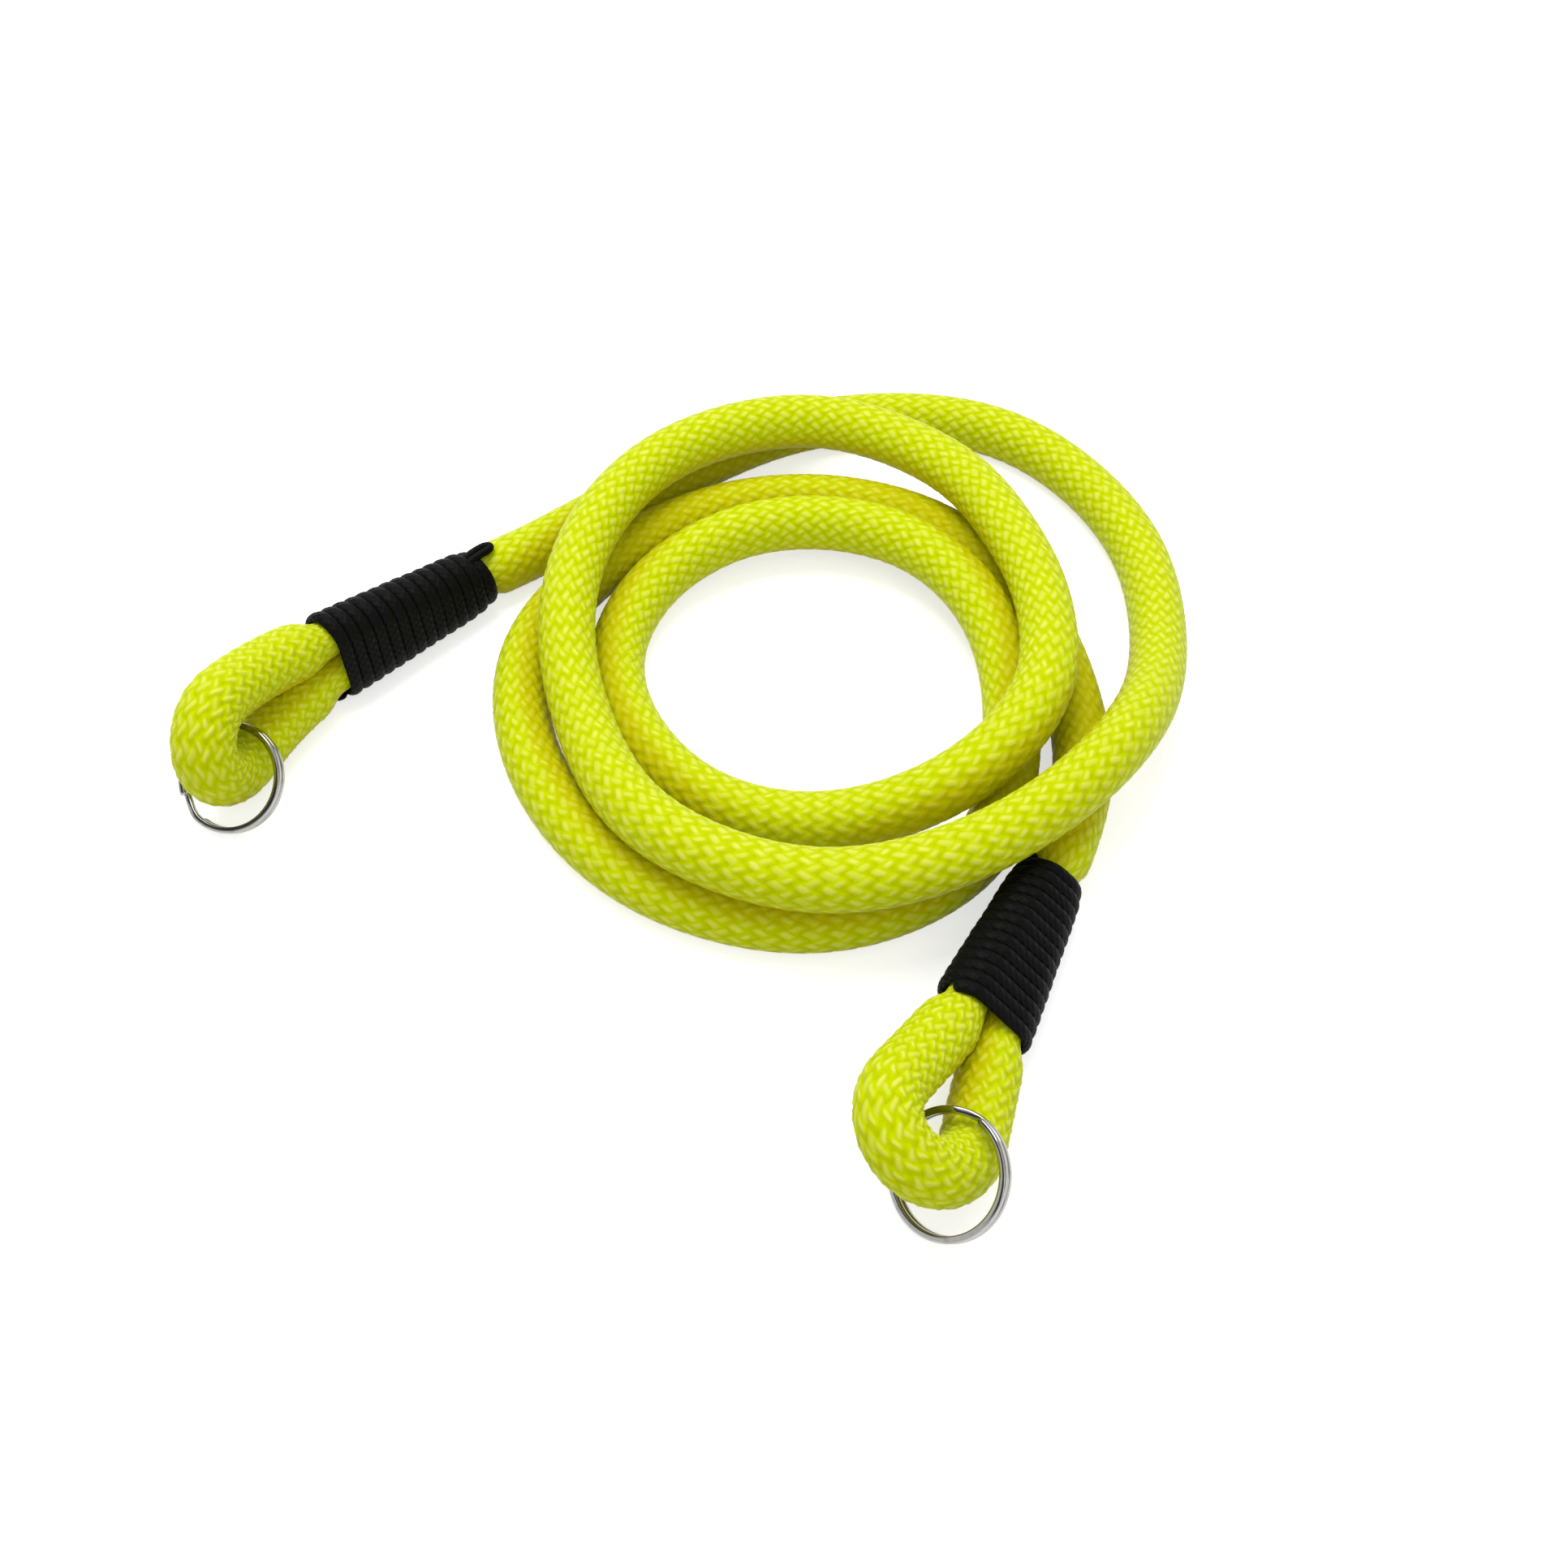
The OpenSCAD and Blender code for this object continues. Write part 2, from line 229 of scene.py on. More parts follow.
def braided_tube(name, line, up, yarns, stitch, cuts, radius, relief, oval=None, mend=None,
                 twist=0.0, shade=None, hand=1):
    """A braided tube along a line. Its grid runs with the yarns: lines of whole u and v
    cross like the yarns do, u + v goes round the tube and u - v along it, a stitch to each
    whole step; `stitch` is a length, or a length at each distance. Where a yarn is on top
    its edges spread by `BULGE` over the yarns beside it. A point is the line's,
    plus radius(distance) and the braid's height times `relief`, in the direction of its
    angle. `oval` gives the two half-widths as shares of the radius, `mend` moves finished
    points, and `shade` gives each point an amount of painted shade for the material's
    colour. `hand` of -1 turns the braid end for end, so that each float's pale face, a
    painted highlight, lies on its other side. A fan round a hub closes each end."""
    dist = along(line)
    whole = dist[-1]
    pace = 1 / (stitch(dist) if callable(stitch) else np.full(len(dist), float(stitch)))
    count = np.concatenate([[0], np.cumsum((pace[1:] + pace[:-1]) / 2 * np.diff(dist))])
    rings = int(round(count[-1] * 2 * cuts))
    count *= rings / (2 * cuts) / count[-1]
    around = yarns * cuts
    table = np.array(CUTS[cuts])

    def crowd(k):
        """Grid line k in yarns: its yarn's number and its place in the table of cuts."""
        return k // cuts + table[np.mod(k, cuts)]

    q = np.arange(rings + 1)[:, None]
    p = 2 * np.arange(around)[None, :] + q % 2
    u, v = crowd((p + q) // 2), crowd((p - q) // 2)
    wide_u = u - BULGE * np.cos(np.pi * u) * np.sin(np.pi * v)
    wide_v = v + BULGE * np.cos(np.pi * v) * np.sin(np.pi * u)
    where = np.interp((wide_u - wide_v) / 2, count, dist)
    angle = 2 * np.pi * (wide_u + wide_v) / 2 / yarns + twist * where / whole
    _, side, top = frames(line, up)
    middle, side, top = (at(a, dist, where) for a in (line, side, top))
    side, top = unit(side), unit(top)
    r = (radius(where) + relief(where) * (pillow(hand * u, hand * v) - 0.1))[..., None]
    wide, thick = oval if oval else (1, 1)
    push = wide * np.cos(angle)[..., None] * side + thick * np.sin(angle)[..., None] * top
    points = middle + r * push
    if mend:
        points = mend(points, middle, where)
    # Painted shade: a number for each point, kept for the material's colour.
    painted_shade_values = shade(points, middle, where) if shade else None

    points = points.reshape(-1, 3)
    rows, cols = np.meshgrid(np.arange(1, rings), np.arange(around), indexing="ij")
    p0 = 2 * cols + rows % 2
    corner_q = np.stack([rows, rows + 1, rows, rows - 1], -1).reshape(-1, 4)
    corner_p = np.stack([p0, p0 + 1, p0 + 2, p0 + 1], -1).reshape(-1, 4)

    def point_of(qq, pp):
        """A point's number: every other step round is a point, on alternate rings."""
        return qq * around + ((pp - qq % 2) // 2) % around

    faces = point_of(corner_q, corner_p)
    lattice = np.stack([crowd((corner_p + corner_q) // 2),
                        crowd((corner_p - corner_q) // 2)], -1).reshape(-1, 2) * hand
    edge = np.arange(2 * around)
    lids, ends = [], []
    for near, far in ((0, 1), (rings, rings - 1)):
        rim = np.where((edge - near) % 2 == 0, point_of(near, edge), point_of(far, edge))
        ends.append(points[rim].mean(0))
        hub = np.full(2 * around, len(points) + len(lids))
        lids.append(np.stack([hub, rim, np.roll(rim, -1)], 1))
    if painted_shade_values is not None:
        painted_shade_values = np.concatenate([painted_shade_values.ravel(), [0, 0]])
    points = np.vstack([points, ends])
    if not outward(points, faces):
        faces, lattice = faces[:, ::-1], lattice.reshape(-1, 4, 2)[:, ::-1].reshape(-1, 2)
    for k, (lid, way) in enumerate(zip(lids, (-1, 1))):
        ahead = unit(line[1] - line[0]) if k == 0 else unit(line[-1] - line[-2])
        a, b, c = (points[lid[:, n]] for n in range(3))
        if np.sum(np.cross(b - a, c - a) @ (way * ahead)) < 0:
            lids[k] = lid[:, ::-1]
    lattice = np.vstack([lattice, np.full((6 * 2 * around, 2), 0.5)])
    # The painted shade goes to the material as a point value.
    values = {"hollow_shade": painted_shade_values} if painted_shade_values is not None else None
    return new_mesh(name, points, [faces] + lids, lattice, values)


# ---- the rope's route ----
def end_frame(end):
    """Forward along a binding, level to its right, across the eye's two legs, and square
    to the eye's plane."""
    h = math.radians(end["heading"])
    forward = unit([math.cos(h), math.sin(h), end["climb"]])
    right = np.array([math.sin(h), -math.cos(h), 0])
    above = np.cross(right, forward)
    tilt = math.radians(end["eye"][2])
    across = math.cos(tilt) * right + math.sin(tilt) * above
    return forward, right, across, np.cross(forward, across)


def coil_route():
    """The coil's centreline in millimetres: stations every thirty degrees at their
    distance from the middle and their height, and at each end straight into the binding
    as far as `INSIDE`. Where it rests it lies a little higher than in the solids, because the
    underside of the braid is only pressed, not cut."""
    turn = np.radians(LAY_START + LAY_STEP * np.arange(len(LAY_R)))
    r = np.array(LAY_R, float)
    stations = np.stack([r * np.cos(turn), r * np.sin(turn), FLOOR_Z + np.array(LAY_Z)], 1)
    tips = []
    for side in ("left", "right"):
        start = np.array(ENDS[side]["start"], float)
        forward = end_frame(ENDS[side])[0]
        tips.append([start + forward * LEAD, start + forward * INSIDE,
                     start - forward * NECK])
    line = spline(np.vstack([tips[0], stations, tips[1][::-1]]), 40)
    dist = along(line)
    lift = 0.5
    rest = 1 - ease((line[:, 2] - FLOOR_Z) / 6)
    near_end = np.minimum(dist, dist[-1] - dist)
    line[:, 2] += lift * rest * ease((near_end - 6) / 20)
    return softened(line, 30)


def eye_route(end):
    """An eye's centreline in millimetres, its distance along the binding and across it.
    Up the standing leg under the binding, out along a straight leg, round a circle, back
    down the other leg and under the binding as the tail. The whole bends sideways and
    lifts with the square of the distance past the binding."""
    bend_r, opening, _, sideways, lift = end["eye"]
    bound = end["bound"]
    forward, right, across, _ = end_frame(end)
    theta = math.radians(opening)
    middle = bend_r * math.sin(theta) + (bend_r * math.cos(theta) - BOUND_R) / math.tan(theta)
    sweep = np.linspace(-math.pi / 2 - theta, math.pi / 2 + theta, 120)
    s = np.linspace(INSIDE, bound, 80)
    give = tail_radius(s, bound) * ease(s / TAIL_START)
    leg = np.linspace(0, 1, 60)[1:-1]
    out_s = bound + leg * (middle + bend_r * math.cos(sweep[0]))
    out_q = BOUND_R + leg * (bend_r * math.cos(theta) - BOUND_R)
    flat = np.concatenate([
        np.stack([s, -give], 1), np.stack([out_s, -out_q], 1),
        np.stack([bound + middle + bend_r * np.cos(sweep), bend_r * np.sin(sweep)], 1),
        np.stack([out_s, out_q], 1)[::-1],
        np.stack([np.linspace(bound, TAIL_START, 80), np.full(80, BOUND_R)], 1)])
    even = along(np.column_stack([flat, np.zeros(len(flat))]))
    flat = at(flat, even, np.arange(0, even[-1], 0.2))
    flat = softened(flat, 18)
    d = np.maximum(0, (flat[:, :1] - bound) / (middle + bend_r))
    line = np.array(end["start"], float) + flat[:, :1] * forward + flat[:, 1:] * across \
        + d * d * (sideways * right + np.array([0, 0, lift]))
    return line, flat


def tail_radius(s, bound):
    """Radius of the tail under a binding: it thins out evenly towards the narrow end."""
    return TAIL_TIP_R + (BOUND_R - TAIL_TIP_R) * np.clip(s - TAIL_START, 0, None) \
        / (bound - TAIL_START)


def settled(points):
    """Points pressed against the floor: the mean of the height and of its own size,
    rounded off where the two meet."""
    soft = 0.1
    out = points.copy()
    out[..., 2] = 0.5 * (points[..., 2] + np.sqrt(points[..., 2] ** 2 + 4 * soft ** 2))
    return out


def painted_hollow_shade(line):
    """A function that gives the painted shade for the rope's colour: how deep a point of the
    rope lies among its neighbours, the sum over the other strands of how squarely it faces
    them over how far they are, and how far it faces down."""
    every, clear_of, reach, same_strand, rows = 4.0, 9, 17, 30, 64
    dist = along(line)
    other_s = np.arange(0, dist[-1], every)
    other = at(line, dist, other_s)

    def shade(points, middle, where):
        """Painted shade between 0 in the open and 1 deep among the strands or right underneath.
        """
        face = unit(points - middle)
        total = np.zeros(points.shape[:2])
        ring_s = where.mean(1)
        ring_mid = middle.mean(1)
        for k in range(0, len(points), rows):
            part = slice(k, k + rows)
            gap = other[None] - ring_mid[part, None]
            far = np.linalg.norm(gap, axis=-1)
            apart = np.abs(other_s[None] - ring_s[part, None]) > same_strand
            weight = np.where(apart & (far < clear_of + reach),
                              1 - ease((far - clear_of) / reach), 0)
            way = gap / np.maximum(far, 1e-6)[..., None]
            facing = np.einsum("rpk,rok->rpo", face[part], way)
            total[part] = np.sum(np.maximum(facing, 0) ** 2 * weight[:, None], -1)
        under = ease((-face[..., 2] + 0.15) / 1.0)
        return np.clip(0.3 * total + 0.75 * under, 0, 1)
    return shade


def placed(piece, body, replaced, slot):
    """Put a piece worked out in millimetres from the coil's middle in the part's frame, give
    it its body and the material for its slot, and hide the solids it stands for."""
    mesh = piece.data
    points = np.empty(len(mesh.vertices) * 3, np.float32)
    mesh.vertices.foreach_get("co", points)
    mesh.vertices.foreach_set("co", scaled(points.reshape(-1, 3)).astype(np.float32).ravel())
    mesh.update()
    mesh.materials.append(finish(slot))
    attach(piece, body)
    if replaced:
        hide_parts(*replaced)


def scaled(points):
    """Millimetres from the coil's middle to metres in the part's frame."""
    return (points + ORIGIN) * MM


# ---- node helpers ----
class Net:
    """A node tree being wired: `add` makes a node, sets its values and joins its inputs."""

    def __init__(self, tree):
        self.tree = tree
        self.x = 0

    def add(self, kind, settings=None, **inputs):
        """A node with its settings. An input is named with _ for a space, or i and its
        place, and is a value or the socket that feeds it."""
        node = self.tree.nodes.new(kind)
        self.x += 60
        node.location = (self.x, -(self.x * 7) % 600)
        for key, value in (settings or {}).items():
            setattr(node, key, value)
        for key, value in inputs.items():
            name = key.replace("_", " ")
            socket = node.inputs[int(key[1:])] if key[0] == "i" and key[1:].isdigit() \
                else node.inputs[name]
            self.feed(value, socket)
        return node

    def feed(self, value, socket):
        """Join a socket's value to another socket, or set a plain value on it."""
        if isinstance(value, bpy.types.NodeSocket):
            self.tree.links.new(value, socket)
        else:
            socket.default_value = value

    def math(self, operation, *values):
        """A Math node's result; a value is a number or a socket."""
        node = self.add("ShaderNodeMath", {"operation": operation},
                        **{f"i{k}": v for k, v in enumerate(values)})
        return node.outputs[0]

    def mix(self, factor, a, b):
        """Colour a where the factor is 0 and b where it is 1."""
        node = self.add("ShaderNodeMix", {"data_type": "RGBA"}, i0=factor, i6=a, i7=b)
        return node.outputs[2]

    def ramp(self, value, low, high):
        """A smooth step from 0 at `low` to 1 at `high`."""
        node = self.add("ShaderNodeMapRange", {"interpolation_type": "SMOOTHSTEP"},
                        Value=value, From_Min=low, From_Max=high)
        return node.outputs[0]

    def less(self, value):
        """One less a value."""
        return self.math("SUBTRACT", 1.0, value)

    def blend(self, factor, a, b):
        """The value a where the factor is 0 and b where it is 1."""
        return self.math("ADD", self.math("MULTIPLY", a, self.less(factor)),
                         self.math("MULTIPLY", b, factor))

    def effect(self, name, maker, **inputs):
        """The outputs of a node group, made the first time it is asked for."""
        tree = bpy.data.node_groups.get(name) or maker()
        return self.add("ShaderNodeGroup", {"node_tree": tree}, **inputs).outputs


def group(name, inputs, outputs):
    """A shader node group with its sockets made, its input and output nodes, and a Net."""
    tree = bpy.data.node_groups.new(name, "ShaderNodeTree")
    for label, kind, default in inputs:
        socket = tree.interface.new_socket(label, in_out="INPUT", socket_type=kind)
        if default is not None:
            socket.default_value = default
    for label, kind in outputs:
        tree.interface.new_socket(label, in_out="OUTPUT", socket_type=kind)
    net = Net(tree)
    return tree, net, net.add("NodeGroupInput").outputs, net.add("NodeGroupOutput").inputs


def braid_group():
    """Where a surface is on a braid laid out by u and v: the height of the float that shows,
    its pale face, which is a painted highlight, how near a crease, which sets painted shade,
    the filaments' relief and a number for each float."""
    tree, net, given, out = group(
        "braid", [("Lattice", "NodeSocketVector", None), ("Filaments", "NodeSocketFloat", 8.0),
                  ("Strand", "NodeSocketFloat", 0.1)],
        [(label, "NodeSocketFloat")
         for label in ("Crown", "Painted highlight", "Crease shade", "Relief", "Float")])
    wander = net.add("ShaderNodeTexNoise", {"noise_dimensions": "2D"}, Vector=given["Lattice"],
                     Scale=1.3, Detail=2.0).outputs[0]
    uv = net.add("ShaderNodeSeparateXYZ", Vector=given["Lattice"]).outputs
    u, v = uv[0], uv[1]
    i, j = net.math("FLOOR", u), net.math("FLOOR", v)
    fu, fv = net.math("SUBTRACT", u, i), net.math("SUBTRACT", v, j)

    def height(across, length, number, rise):
        """A yarn's rise and fall along its length, less the drop towards its edges."""
        turn = net.math("MULTIPLY", net.math("SUBTRACT", net.math("SUBTRACT", length, number),
                                             0.5), math.pi)
        off = net.math("SUBTRACT", net.math("MULTIPLY", across, 2.0), 1.0)
        return net.math("SUBTRACT", net.math("MULTIPLY", net.math("COSINE", turn), rise),
                        net.math("MULTIPLY", net.math("MULTIPLY", off, off), ROUND))

    high_u, high_v = height(fu, v, i, WAVE), height(fv, u, j, -WAVE)
    second = net.math("GREATER_THAN", high_v, high_u)
    crown = net.math("MAXIMUM", high_u, high_v)
    across, length = net.blend(second, fu, fv), net.blend(second, fv, fu)

    number = net.add("ShaderNodeTexWhiteNoise", {"noise_dimensions": "2D"},
                     Vector=net.add("ShaderNodeCombineXYZ", X=i, Y=j).outputs[0]
                     ).outputs["Value"]

    def by_family(a, b):
        """A number for each family of yarns."""
        return net.math("ADD", a, net.math("MULTIPLY", second, b - a))

    def cubed(value, middle, half):
        """How far a value is from a middle, in half-widths, cubed."""
        off = net.math("DIVIDE", net.math("SUBTRACT", value, middle), half)
        return net.math("POWER", net.math("ABSOLUTE", off), 3.0)

    # Painted highlight: a pale patch on each float, where glossy yarn would catch the light, its
    # edge made ragged by noise and by the float's number.
    far = net.math("POWER", net.math("ADD", cubed(length, 0.5, by_family(*PAINTED_HIGHLIGHT_LONG)),
                                     cubed(across, by_family(*PAINTED_HIGHLIGHT_SIDE),
                                           by_family(*PAINTED_HIGHLIGHT_WIDE))), 1 / 3)
    ragged = net.math("ADD", net.math("MULTIPLY", net.math("SUBTRACT", wander, 0.5), 0.8),
                      net.math("MULTIPLY", number, 0.25))
    pale = net.less(net.ramp(net.math("ADD", far, ragged), 0.55, 1.25))
    # Painted shade along one edge of each float, weaker on some floats.
    crease_shade = net.math("MULTIPLY", net.less(net.ramp(across, 0.02, 0.26)),
                      net.less(net.math("MULTIPLY", number, 0.6)))
    line = net.math("MULTIPLY", net.math("ADD", across, net.math("MULTIPLY", wander, 0.25)),
                    net.math("MULTIPLY", given["Filaments"], 2 * math.pi))
    strand = net.math("MULTIPLY", net.math("SINE", line), 0.5)
    relief = net.math("ADD", crown, net.math("MULTIPLY", strand, given["Strand"]))
    for value, label in ((crown, "Crown"), (pale, "Painted highlight"), (crease_shade, "Crease shade"),
                         (relief, "Relief"), (number, "Float")):
        net.feed(value, out[label])
    return tree


def wear_group():
    """Uneven handling marks: a slow patchiness and a fine grain, from Object coordinates."""
    tree, net, given, out = group(
        "handling",
        [("Patch size", "NodeSocketFloat", 60.0), ("Grain size", "NodeSocketFloat", 900.0)],
        [("Patch", "NodeSocketFloat"), ("Grain", "NodeSocketFloat")])
    place = net.add("ShaderNodeTexCoord").outputs["Object"]
    patch = net.add("ShaderNodeTexNoise", Vector=place, Scale=given["Patch size"], Detail=3.0)
    grain = net.add("ShaderNodeTexNoise", Vector=place, Scale=given["Grain size"], Detail=2.0)
    net.feed(patch.outputs[0], out["Patch"])
    net.feed(grain.outputs[0], out["Grain"])
    return tree


def new_material(name):
    """A material with one Principled shader: the material, its Net and the shader."""
    material = bpy.data.materials.new(name)
    material.use_nodes = True
    shader = material.node_tree.nodes["Principled BSDF"]
    return material, Net(material.node_tree), shader


def rgba(colour):
    """A property's colour as a socket takes it."""
    return (*colour, 1.0)


def on_braid(net, **inputs):
    """The braid's masks, read from a piece's own layout of its yarns."""
    lattice = net.add("ShaderNodeUVMap", {"uv_map": "lattice"}).outputs[0]
    return net.effect("braid", braid_group, Lattice=lattice, **inputs)


def surface(net, shader, colour, rough, relief, strength, depth):
    """Join the shader's colour and roughness, and a bump `depth` metres deep."""
    net.feed(colour, shader.inputs["Base Color"])
    net.feed(rough, shader.inputs["Roughness"])
    bump = net.add("ShaderNodeBump", Strength=strength, Distance=depth, Height=relief)
    net.feed(bump.outputs[0], shader.inputs["Normal"])


def rope_material(name):
    """Fluorescent yellow polyester braid, saturated, with fine filaments along each yarn, and
    painted light and shade: a painted highlight on the crowns as glossy yarn would show,
    painted shade in the creases, and a painted golden shade in the hollows and underneath."""
    rope = bpy.context.scene.strap_rope
    material, net, shader = new_material(name)
    braid = on_braid(net, Filaments=rope.filaments, Strand=0.08)
    handling = net.effect("handling", wear_group)
    hollow_shade = net.add("ShaderNodeAttribute", {"attribute_name": "hollow_shade"}).outputs["Fac"]
    # Painted shade: darker, warmer colour where the rope lies among other strands or faces down.
    body = net.mix(net.ramp(hollow_shade, 0.05, 0.9), rgba(rope.body_colour), rgba(rope.hollow_shade_colour))
    # Painted highlight: the pale patch on each float, of random strength, mixed towards the
    # highlight colour.
    pale = net.math("MULTIPLY", braid["Painted highlight"],
                    net.math("ADD", 0.5, net.math("MULTIPLY", braid["Float"], 0.5)))
    # The painted highlight fades under the painted shade.
    pale = net.math("MULTIPLY", pale, net.less(net.math("MULTIPLY", hollow_shade, 0.75)))
    colour = net.mix(pale, body, rgba(rope.painted_highlight_colour))
    # Painted shade in the creases, at half strength.
    colour = net.mix(net.math("MULTIPLY", braid["Crease shade"], 0.5), colour,
                     rgba(rope.crease_shade_colour))
    rough = net.math("ADD", 0.32, net.math("MULTIPLY", handling["Patch"], 0.12))
    shader.inputs["Specular IOR Level"].default_value = 0.07
    shader.inputs["Specular Tint"].default_value = (1.0, 1.0, 0.12, 1.0)
    relief = net.math("ADD", braid["Relief"], net.math("MULTIPLY", handling["Grain"], 0.12))
    surface(net, shader, colour, rough, relief, 0.5, 0.00018)
    return material


def cord_material(name):
    """Black waxed cord: a tight braid under wax, semi-gloss, paler where it is rubbed."""
    cord = bpy.context.scene.strap_cord
    material, net, shader = new_material(name)
    braid = on_braid(net, Filaments=3.0, Strand=0.2)
    handling = net.effect("handling", wear_group, Patch_size=350.0, Grain_size=2500.0)
    rubbed = net.math("MULTIPLY", net.ramp(braid["Crown"], 0.5, 0.95),
                      net.ramp(handling["Patch"], 0.42, 0.68))
    colour = net.mix(rubbed, rgba(cord.colour), rgba(cord.rubbed_colour))
    rough = net.math("ADD", 0.40, net.math("MULTIPLY", handling["Patch"], 0.25))
    shader.inputs["Specular IOR Level"].default_value = 0.08
    relief = net.math("ADD", braid["Relief"], net.math("MULTIPLY", handling["Grain"], 0.35))
    surface(net, shader, colour, rough, relief, 0.5, 0.00012)
    return material


def ring_material(name):
    """Nickel plate on spring wire, duller in patches, with a faint grain."""
    rings = bpy.context.scene.strap_rings
    material, net, shader = new_material(name)
    handling = net.effect("handling", wear_group, Patch_size=400.0, Grain_size=4000.0)
    colour = net.mix(net.ramp(handling["Patch"], 0.45, 0.75), rgba(rings.plate_colour),
                     rgba(rings.dull_colour))
    shader.inputs["Metallic"].default_value = 1.0
    rough = net.math("ADD", 0.06, net.math("MULTIPLY", handling["Patch"], 0.08))
    surface(net, shader, colour, rough, handling["Grain"], 0.15, 0.00003)
    return material


FINISHES = {
    "sheath": ("braided polyester", rope_material),
    "waxed_cord": ("waxed cord", cord_material),
    "spring_wire": ("nickel plate", ring_material),
}


def finish(slot):
    """The material for a slot, made the first time it is asked for."""
    name, maker = FINISHES[slot]
    return bpy.data.materials.get(name) or maker(name)


# ---- sizes and colours a user would change ----
class StrapRope(bpy.types.PropertyGroup):
    """Sizes and colours of the rope."""
    diameter: bpy.props.FloatProperty(
        name="Diameter", description="Rope over the sheath's middle height",
        default=0.0108, unit="LENGTH")
    stitch: bpy.props.FloatProperty(
        name="Stitch", description="Length of one stitch along the rope",
        default=0.0038, unit="LENGTH")
    relief: bpy.props.FloatProperty(
        name="Relief", description="Height of a yarn's crown over the creases",
        default=0.00036, unit="LENGTH")
    yarns: bpy.props.IntProperty(
        name="Yarns", description="Yarns that run each way round the rope", default=14)
    filaments: bpy.props.FloatProperty(
        name="Filaments", description="Bundles that show across one yarn", default=7.0)
    twist: bpy.props.FloatProperty(
        name="Twist", description="How far the braid turns round the rope over its length",
        default=1.6, subtype="ANGLE")
    body_colour: bpy.props.FloatVectorProperty(
        name="Body", description="Yarn away from its crown", subtype="COLOR",
        default=(0.665, 0.785, 0.0))
    # Painted highlight colour: the pale glint that the material paints on each float's crown.
    painted_highlight_colour: bpy.props.FloatVectorProperty(
        name="Crown", description="Yarn on its crown", subtype="COLOR",
        default=(0.88, 0.935, 0.12))
    # Painted shade colour, for the creases beside each float.
    crease_shade_colour: bpy.props.FloatVectorProperty(
        name="Crease shade", description="Yarn where it dives under its neighbours",
        subtype="COLOR", default=(0.50, 0.53, 0.0))
    # Painted shade colour, darker and warmer, for rope among other strands or facing the floor.
    hollow_shade_colour: bpy.props.FloatVectorProperty(
        name="Hollow shade", description="Yarn that faces other strands or the floor",
        subtype="COLOR", default=(0.62, 0.59, 0.0))


class StrapCord(bpy.types.PropertyGroup):
    """Sizes and colours of the binding cord."""
    turns: bpy.props.IntProperty(
        name="Turns", description="Turns of cord round each end", default=14)
    thickness: bpy.props.FloatProperty(
        name="Thickness", description="Cord, out from the rope", default=0.00165,
        unit="LENGTH")
    relief: bpy.props.FloatProperty(
        name="Relief", description="Height of the cord's own braid", default=0.00014,
        unit="LENGTH")
    colour: bpy.props.FloatVectorProperty(
        name="Cord", description="Waxed cord", subtype="COLOR", default=(0.0035, 0.004, 0.0035))
    rubbed_colour: bpy.props.FloatVectorProperty(
        name="Rubbed", description="Cord where the wax has whitened", subtype="COLOR",
        default=(0.014, 0.015, 0.017))


class StrapRings(bpy.types.PropertyGroup):
    """Sizes and colours of the split rings."""
    outside: bpy.props.FloatProperty(
        name="Outside", description="Ring's outside diameter", default=0.020, unit="LENGTH")
    wire_width: bpy.props.FloatProperty(
        name="Width", description="Wire, across the ring", default=0.0012, unit="LENGTH")
    wire_height: bpy.props.FloatProperty(
        name="Height", description="One turn of the wire", default=0.00112, unit="LENGTH")
    plate_colour: bpy.props.FloatVectorProperty(
        name="Plate", description="Clean plate", subtype="COLOR", default=(0.41, 0.40, 0.38))
    dull_colour: bpy.props.FloatVectorProperty(
        name="Dull", description="Plate where it is dulled", subtype="COLOR",
        default=(0.31, 0.297, 0.28))


class StrapStage(bpy.types.PropertyGroup):
    """Strength of the studio light."""
    key: bpy.props.FloatProperty(
        name="Key", description="Power of the overhead light", default=4.0, unit="POWER")
    fill: bpy.props.FloatProperty(
        name="Fill", description="Brightness of the surroundings", default=0.46)


# ---- operators ----
class STRAP_OT_coil(bpy.types.Operator):
    """Lay the braided rope round its loops."""
    bl_idname = "strap.coil"
    bl_label = "Coil"

    def execute(self, context):
        rope = context.scene.strap_rope
        line = coil_route()
        whole = along(line)[-1]
        full, bound = rope.diameter / MM / 2, BOUND_R - PINCH

        def radius(s):
            """Bound radius inside the bindings, then the full one within a few millimetres,
            with a slow unevenness of two sines."""
            near = np.minimum(s, whole - s) - INSIDE
            slow = 0.05 * np.sin(s / 23.0) + 0.04 * np.sin(s / 9.1 + 1.0)
            return bound + (full + slow - bound) * ease((near + 0.6) / 4.2) ** 0.7

        def relief(s):
            """Flatter where the cord holds the yarns down."""
            near = np.minimum(s, whole - s) - INSIDE
            return rope.relief / MM * (0.35 + 0.65 * ease(near / 4))

        # Each point also gets the amount of painted shade for the rope's colour.
        piece = braided_tube(
            "rope_coil", line, (0, 0, 1), rope.yarns, rope.stitch / MM, 3, radius, relief,
            mend=lambda points, middle, where: settled(points), twist=rope.twist,
            shade=painted_hollow_shade(line), hand=-1)
        placed(piece, "rope", ["rope_sheath", "rope_core"], "sheath")
        return {"FINISHED"}


